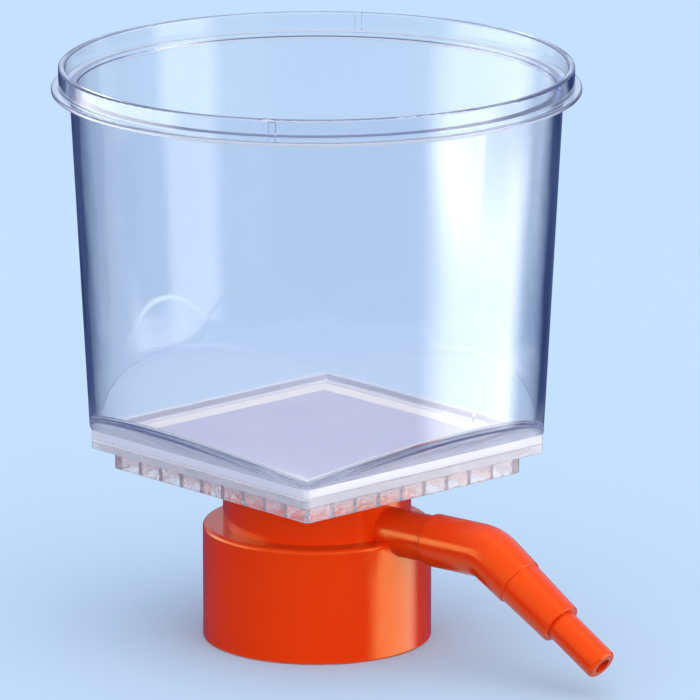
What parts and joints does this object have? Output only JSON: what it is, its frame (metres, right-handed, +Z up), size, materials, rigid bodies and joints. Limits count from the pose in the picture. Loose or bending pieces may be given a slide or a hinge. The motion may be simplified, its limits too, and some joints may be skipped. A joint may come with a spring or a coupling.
{
  "type": "vacuum filtration unit",
  "caption": "Bottle-top vacuum filter: clear round funnel on a square foot over a white membrane, with a threaded neck collar and an angled, stepped hose connector.",
  "frame": {"origin": "centre of the neck collar's open end, which the unit stands on", "axes": "+Z up, towards the funnel's rim; X and Y along the sides of the square foot; the hose connector points 8 degrees from +X towards +Y, and down"},
  "size_m": [0.1401, 0.117, 0.1303],
  "materials": {
    "clear_plastic": "clear moulded polystyrene",
    "orange_plastic": "glossy, moulded",
    "membrane": "matt, microporous",
    "seal": "soft, matt"
  },
  "bodies": {
    "root": {"funnel": "clear_plastic", "membrane": "membrane", "support_plate": "clear_plastic", "neck_adapter": "orange_plastic", "hose_connector": "orange_plastic", "neck_gasket": "seal"}
  },
  "joints": []
}
